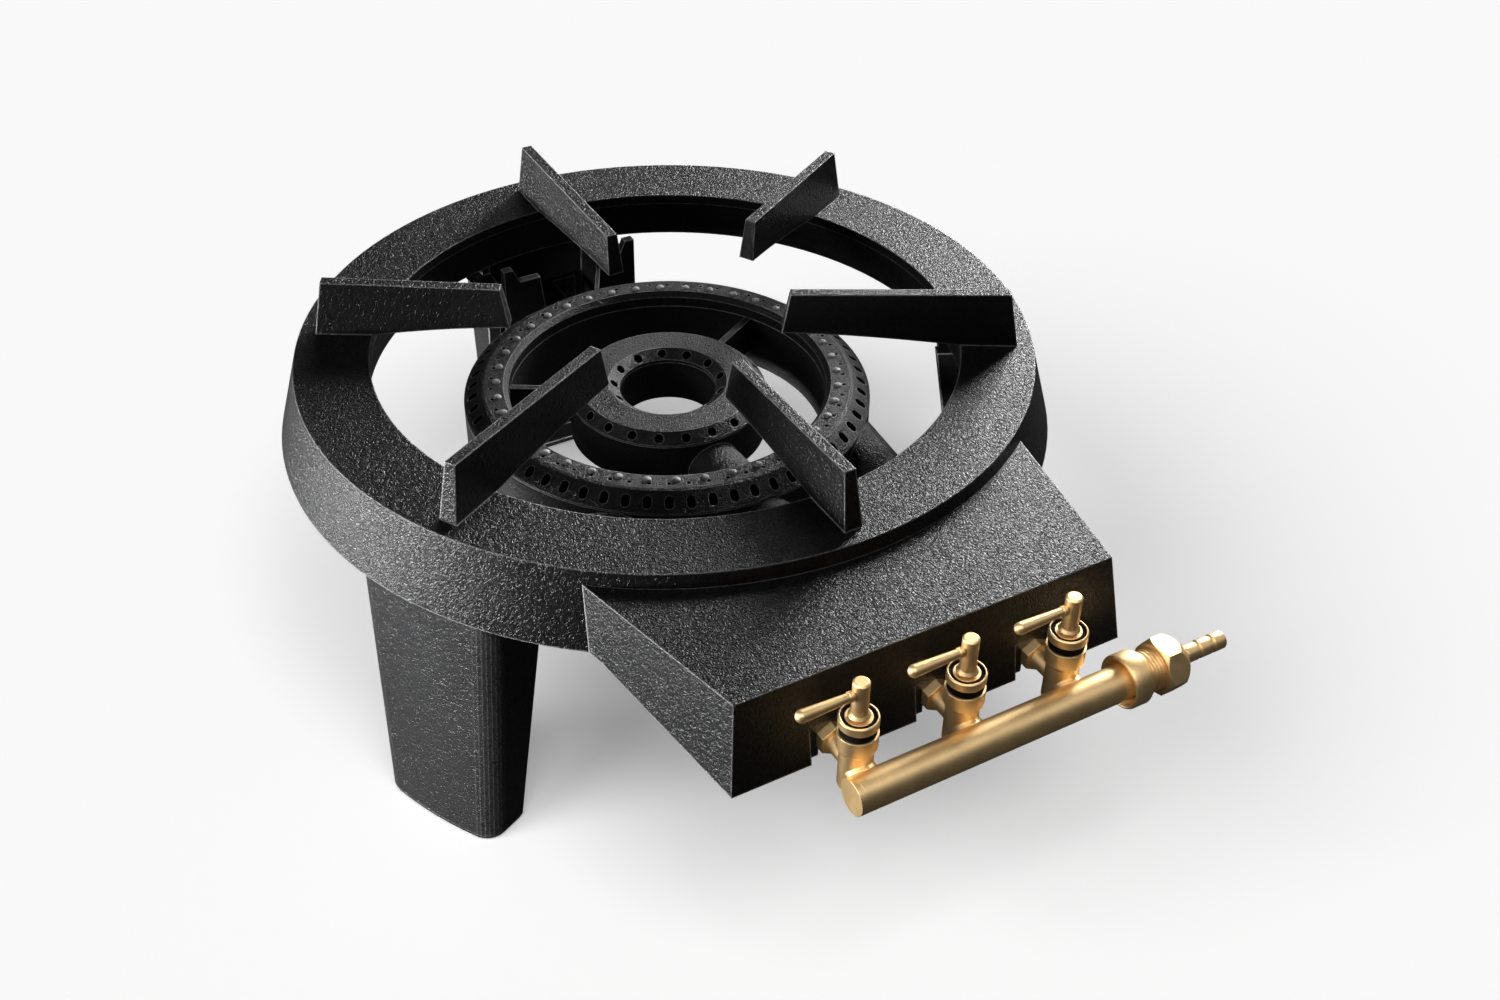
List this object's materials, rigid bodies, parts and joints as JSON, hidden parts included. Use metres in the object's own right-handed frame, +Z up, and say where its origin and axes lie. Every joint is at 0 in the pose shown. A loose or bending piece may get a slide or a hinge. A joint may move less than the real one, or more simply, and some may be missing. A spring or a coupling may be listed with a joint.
{
  "type": "cast iron gas stove",
  "caption": "Low cast iron ring stove on hollow legs with pan supports, a concentric gas burner, a control hood and brass lever taps on a manifold.",
  "frame": {"origin": "centre of the bounding box at the floor", "axes": "+Z up, -Y towards the taps at the front, +X towards the hose nozzle"},
  "size_m": [0.423, 0.5262, 0.229],
  "materials": {
    "iron": "matt black, as cast",
    "burner_iron": "matt black, as cast",
    "brass": "satin",
    "seal": "matt",
    "bolt_steel": "blackened"
  },
  "bodies": {
    "stove": {"top_ring": "iron", "control_hood": "iron", "leg_back": "iron", "leg_front_left": "iron", "leg_front_right": "iron", "leg_bolts": "bolt_steel", "hood_bolts": "bolt_steel", "burner_bracket": "iron", "bracket_bolts": "bolt_steel", "burner_bolt": "bolt_steel", "outer_burner_body": "burner_iron", "outer_burner_cap": "burner_iron", "inner_burner_body": "burner_iron", "inner_burner_cap": "burner_iron", "manifold_pipe": "brass", "manifold_end_cap": "brass", "inlet_adapter": "brass", "union_nut": "brass", "hose_nozzle": "brass", "nozzle_washer": "seal", "tap_left_body": "brass", "tap_left_cap": "brass", "tap_left_seals": "seal", "tap_mid_body": "brass", "tap_mid_cap": "brass", "tap_mid_seals": "seal", "tap_right_body": "brass", "tap_right_cap": "brass", "tap_right_seals": "seal", "tap_lock_nuts": "brass", "tap_back_nuts": "brass", "gas_jets": "brass"},
    "tap_left": {"tap_left_plug": "brass", "tap_left_lever": "brass"},
    "tap_mid": {"tap_mid_plug": "brass", "tap_mid_lever": "brass"},
    "tap_right": {"tap_right_plug": "brass", "tap_right_lever": "brass"}
  },
  "joints": [
    {"name": "tap_left_turn", "type": "hinge", "parent": "stove", "child": "tap_left", "pos_m": [-0.056, -0.23338, 0.199], "axis": [0, 0, 1], "range_deg": [0, 90]},
    {"name": "tap_mid_turn", "type": "hinge", "parent": "stove", "child": "tap_mid", "pos_m": [0, -0.23338, 0.199], "axis": [0, 0, 1], "range_deg": [0, 90]},
    {"name": "tap_right_turn", "type": "hinge", "parent": "stove", "child": "tap_right", "pos_m": [0.056, -0.23338, 0.199], "axis": [0, 0, 1], "range_deg": [0, 90]}
  ]
}
